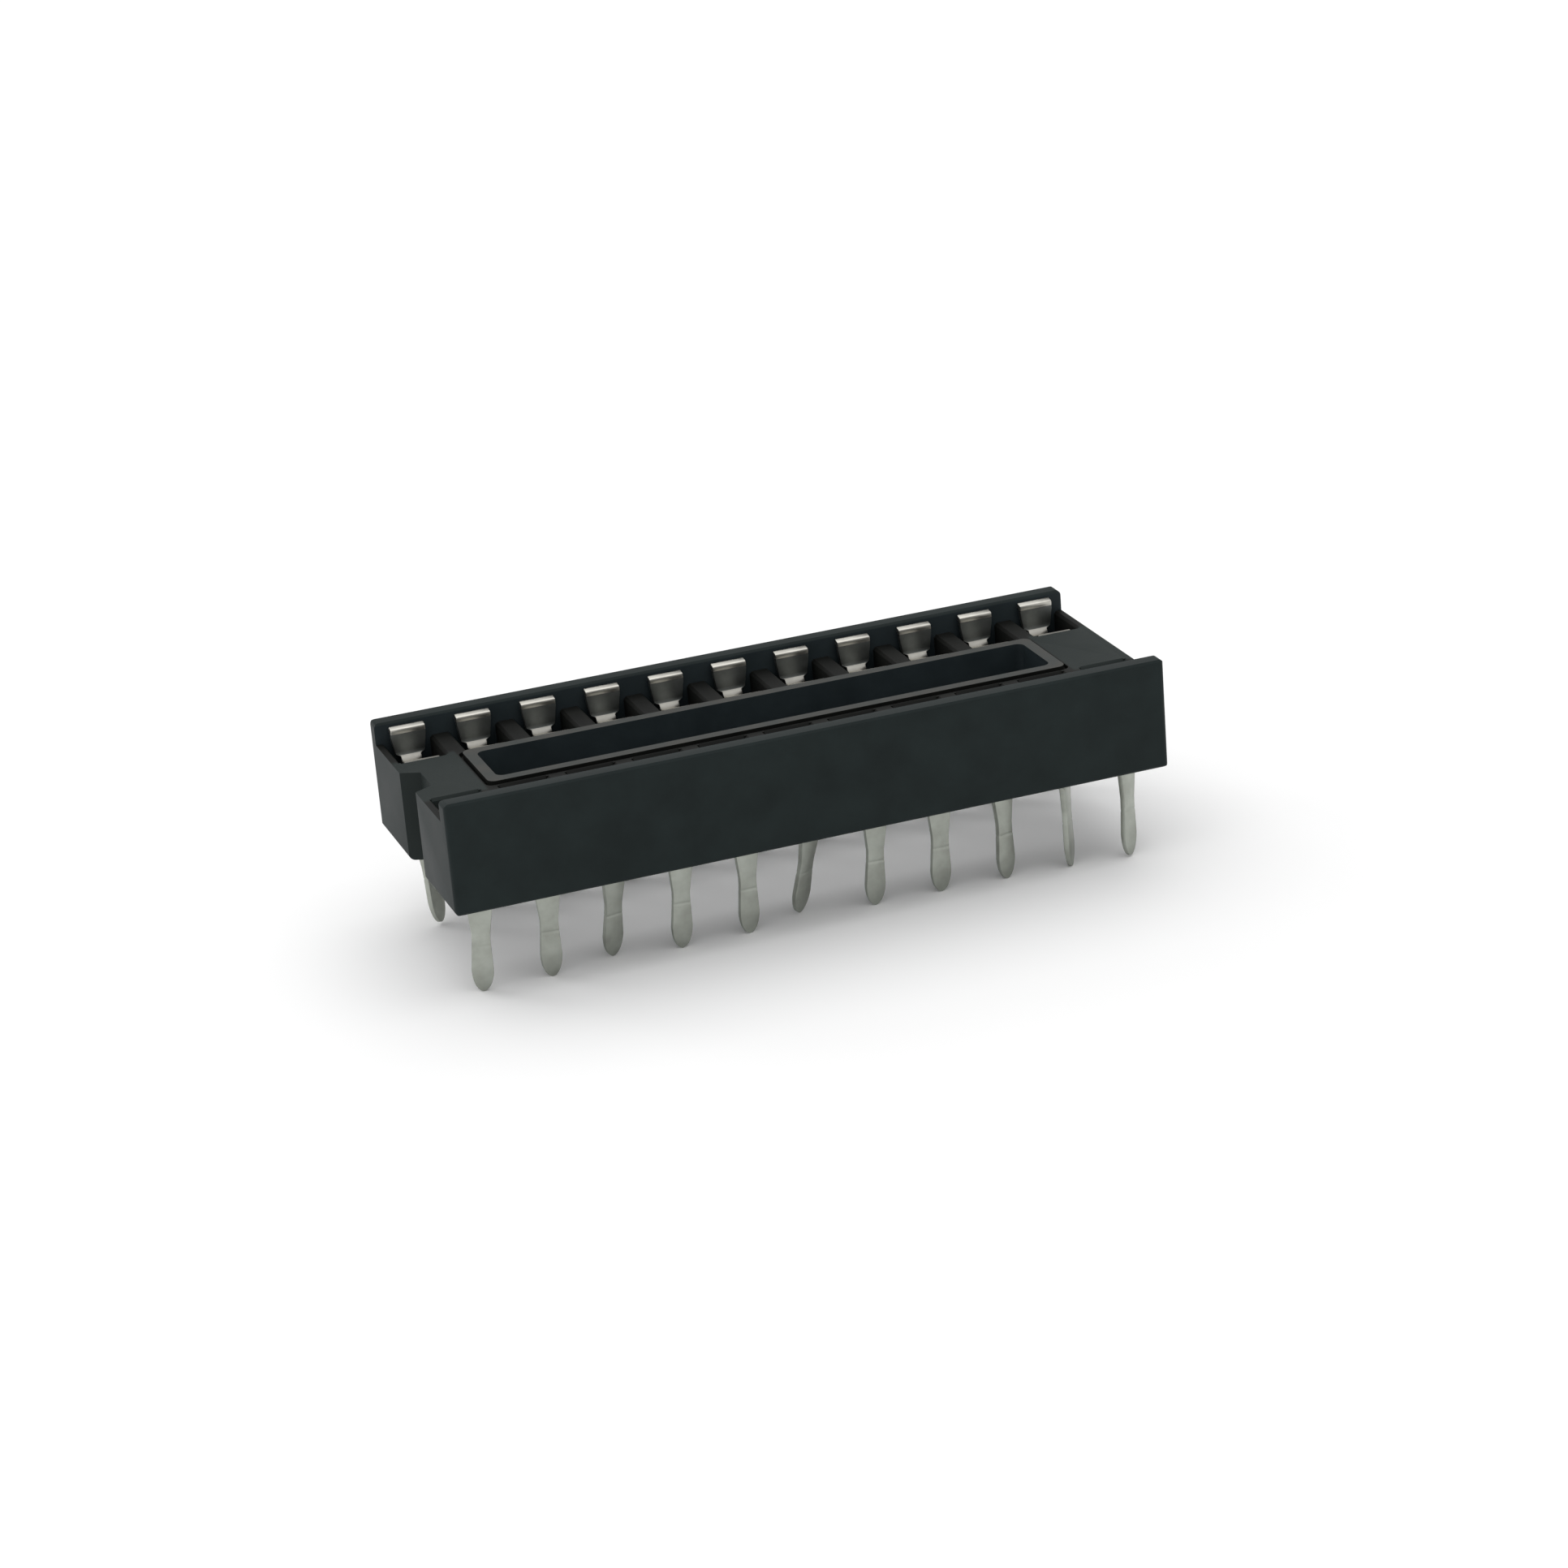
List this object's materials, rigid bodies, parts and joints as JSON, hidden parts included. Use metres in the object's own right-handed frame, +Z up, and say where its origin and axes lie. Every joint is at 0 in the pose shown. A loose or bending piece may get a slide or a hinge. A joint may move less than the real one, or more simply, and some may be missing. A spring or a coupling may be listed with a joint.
{
  "type": "ic socket",
  "caption": "Open-frame socket for a dual in-line chip: black moulded housing with a windowed shelf between two side walls, and stamped dual-leaf contacts with flat solder tails.",
  "frame": {"origin": "centre of the footprint, level with the tips of the solder tails", "axes": "+X along the row of contacts, away from the notched end; +Y across the rows; +Z up, out of the board"},
  "size_m": [0.0278, 0.0102, 0.0078],
  "materials": {
    "housing": "satin, glass-filled thermoplastic",
    "contact": "bright tin plate over phosphor bronze strip"
  },
  "bodies": {
    "root": {"housing": "housing", "contact_01": "contact", "contact_02": "contact", "contact_03": "contact", "contact_04": "contact", "contact_05": "contact", "contact_06": "contact", "contact_07": "contact", "contact_08": "contact", "contact_09": "contact", "contact_10": "contact", "contact_11": "contact", "contact_12": "contact", "contact_13": "contact", "contact_14": "contact", "contact_15": "contact", "contact_16": "contact", "contact_17": "contact", "contact_18": "contact", "contact_19": "contact", "contact_20": "contact", "contact_21": "contact", "contact_22": "contact"}
  },
  "joints": []
}
